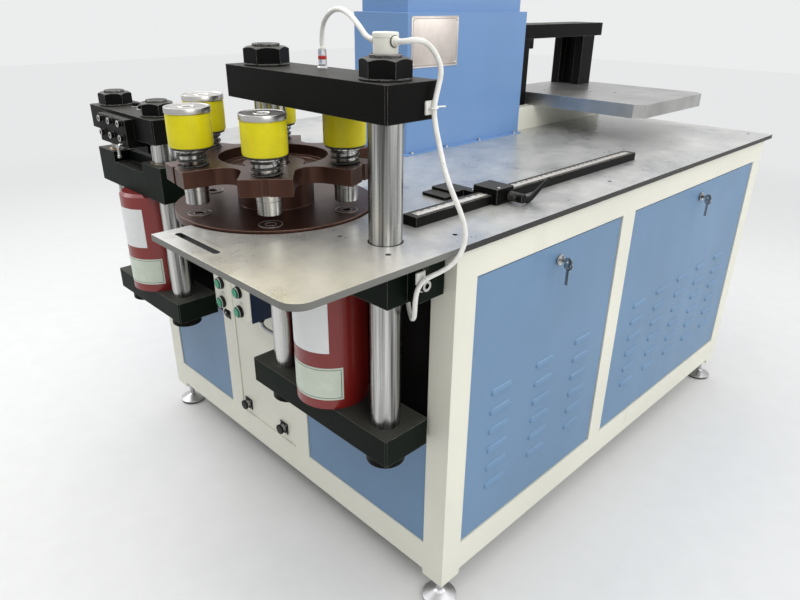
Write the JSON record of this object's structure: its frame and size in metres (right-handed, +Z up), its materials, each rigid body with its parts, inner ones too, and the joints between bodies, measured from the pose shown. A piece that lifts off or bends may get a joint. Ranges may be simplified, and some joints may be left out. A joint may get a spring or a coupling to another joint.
{
  "type": "hydraulic busbar machine",
  "caption": "Hydraulic busbar machine: turret punch press, cutter and bending portal round a steel worktable on a cabinet with doors, levelling feet and a sensor cable.",
  "frame": {"origin": "centre of the footprint on the floor", "axes": "+X along the machine from the punch press to the bending plate, +Y away from the side with the doors, +Z up"},
  "size_m": [1.907, 1.274, 1.319],
  "materials": {
    "cream_paint": "semi-gloss enamel",
    "door_blue": "semi-gloss enamel",
    "housing_blue": "semi-gloss enamel",
    "black_steel": "blackened, semi-gloss",
    "ground_steel": "ground, lightly oiled",
    "chromed_steel": "hard chrome",
    "zinc_steel": "zinc plated",
    "cylinder_red": "gloss enamel",
    "turret_brown": "machined, oiled red-brown",
    "urethane": "cast urethane sleeve on a steel punch",
    "black_plastic": "matte",
    "green_plastic": "gloss",
    "white_plastic": "matte",
    "rubber_sole": "matte",
    "bronze": "machined",
    "galvanised": "galvanised sheet",
    "motor_grey": "enamel"
  },
  "bodies": {
    "cabinet": {"cabinet_frame": "cream_paint", "levelling_feet": "zinc_steel", "foot_soles": "rubber_sole", "worktable": "ground_steel", "floor_panel": "galvanised", "side_panels": "door_blue", "access_cover": "cream_paint", "cover_sockets": "black_plastic", "back_plates": "black_steel", "hinge_pins": "zinc_steel", "press_block": "black_steel", "column_bushings": "bronze", "piston_rods": "chromed_steel", "cutter_block": "black_steel", "turret_spindle": "ground_steel", "bending_riser": "cream_paint", "bending_plate": "ground_steel", "bending_frame": "black_steel", "bending_cylinder": "cylinder_red", "control_housing": "housing_blue", "gauge_bar": "black_steel", "button_box": "cream_paint", "oil_tank": "motor_grey", "pump_motor": "motor_grey", "valve_block": "ground_steel", "hydraulic_hoses": "rubber_sole", "control_plate": "galvanised"},
    "press": {"press_beam": "black_steel", "press_columns": "chromed_steel", "press_nuts": "black_steel", "press_lower_plate": "black_steel", "press_cylinder": "cylinder_red", "beam_sensor": "white_plastic", "sensor_cable": "white_plastic"},
    "cutter": {"cutter_beam": "black_steel", "cutter_columns": "chromed_steel", "cutter_nuts": "black_steel", "cutter_lower_plate": "black_steel", "cutter_cylinder": "cylinder_red", "blade_holder": "black_steel"},
    "turret": {"turret_disc": "turret_brown", "turret_plate": "turret_brown", "die_rings": "ground_steel"},
    "bending_ram": {"bending_ram": "chromed_steel"},
    "short_door": {"short_door": "door_blue"},
    "long_door": {"long_door": "door_blue"},
    "short_lock": {"short_lock": "chromed_steel"},
    "long_lock": {"long_lock": "chromed_steel"},
    "gauge_slider": {"gauge_slider": "black_steel"},
    "clamp_lever": {"clamp_lever": "black_steel"},
    "punch_1": {"punch_1": "urethane"},
    "punch_2": {"punch_2": "urethane"},
    "punch_3": {"punch_3": "urethane"},
    "punch_4": {"punch_4": "urethane"},
    "punch_5": {"punch_5": "urethane"},
    "punch_6": {"punch_6": "urethane"},
    "button_1": {"button_1": "green_plastic"},
    "button_2": {"button_2": "green_plastic"},
    "button_3": {"button_3": "green_plastic"},
    "button_4": {"button_4": "green_plastic"}
  },
  "joints": [
    {"name": "press_slide", "type": "slide", "parent": "cabinet", "child": "press", "axis": [0, 0, -1], "range_m": [0, 0.0225], "deforming": ["sensor_cable"]},
    {"name": "cutter_slide", "type": "slide", "parent": "cabinet", "child": "cutter", "axis": [0, 0, -1], "range_m": [0, 0.02]},
    {"name": "turret_turn", "type": "hinge", "parent": "cabinet", "child": "turret", "pos_m": [-0.6705, -0.176, 0.905], "axis": [0, 0, 1], "range_deg": [-360, 360]},
    {"name": "bending_slide", "type": "slide", "parent": "cabinet", "child": "bending_ram", "axis": [1, 0, 0], "range_m": [0, 0.2]},
    {"name": "short_door_hinge", "type": "hinge", "parent": "cabinet", "child": "short_door", "pos_m": [0.0095, -0.598, 0.495], "axis": [0, 0, 1], "range_deg": [0, 100]},
    {"name": "long_door_hinge", "type": "hinge", "parent": "cabinet", "child": "long_door", "pos_m": [0.8595, -0.598, 0.495], "axis": [0, 0, 1], "range_deg": [0, 100]},
    {"name": "short_lock_turn", "type": "hinge", "parent": "short_door", "child": "short_lock", "pos_m": [-0.2475, -0.604, 0.781], "axis": [0, -1, 0], "range_deg": [0, 90]},
    {"name": "long_lock_turn", "type": "hinge", "parent": "long_door", "child": "long_lock", "pos_m": [0.4845, -0.604, 0.781], "axis": [0, -1, 0], "range_deg": [0, 90]},
    {"name": "gauge_slide", "type": "slide", "parent": "cabinet", "child": "gauge_slider", "axis": [1, 0, 0], "range_m": [-0.14, 0.54]},
    {"name": "clamp_turn", "type": "hinge", "parent": "gauge_slider", "child": "clamp_lever", "pos_m": [-0.3135, -0.507, 0.915], "axis": [0, -1, 0], "range_deg": [0, 60]},
    {"name": "punch_1_slide", "type": "slide", "parent": "turret", "child": "punch_1", "axis": [0, 0, -1], "range_m": [0, 0.02], "stiffness_N_per_m": 4000, "springref_m": -0.03},
    {"name": "punch_2_slide", "type": "slide", "parent": "turret", "child": "punch_2", "axis": [0, 0, -1], "range_m": [0, 0.02], "stiffness_N_per_m": 4000, "springref_m": -0.03},
    {"name": "punch_3_slide", "type": "slide", "parent": "turret", "child": "punch_3", "axis": [0, 0, -1], "range_m": [0, 0.02], "stiffness_N_per_m": 4000, "springref_m": -0.03},
    {"name": "punch_4_slide", "type": "slide", "parent": "turret", "child": "punch_4", "axis": [0, 0, -1], "range_m": [0, 0.02], "stiffness_N_per_m": 4000, "springref_m": -0.03},
    {"name": "punch_5_slide", "type": "slide", "parent": "turret", "child": "punch_5", "axis": [0, 0, -1], "range_m": [0, 0.02], "stiffness_N_per_m": 4000, "springref_m": -0.03},
    {"name": "punch_6_slide", "type": "slide", "parent": "turret", "child": "punch_6", "axis": [0, 0, -1], "range_m": [0, 0.02], "stiffness_N_per_m": 4000, "springref_m": -0.03},
    {"name": "button_1_press", "type": "slide", "parent": "cabinet", "child": "button_1", "axis": [1, 0, 0], "range_m": [0, 0.003], "stiffness_N_per_m": 400, "springref_m": -0.003},
    {"name": "button_2_press", "type": "slide", "parent": "cabinet", "child": "button_2", "axis": [1, 0, 0], "range_m": [0, 0.003], "stiffness_N_per_m": 400, "springref_m": -0.003},
    {"name": "button_3_press", "type": "slide", "parent": "cabinet", "child": "button_3", "axis": [1, 0, 0], "range_m": [0, 0.003], "stiffness_N_per_m": 400, "springref_m": -0.003},
    {"name": "button_4_press", "type": "slide", "parent": "cabinet", "child": "button_4", "axis": [1, 0, 0], "range_m": [0, 0.003], "stiffness_N_per_m": 400, "springref_m": -0.003}
  ],
  "couplings": [
    {"joint": "punch_1_slide", "follows": "press_slide", "ratio": 0.888}
  ]
}
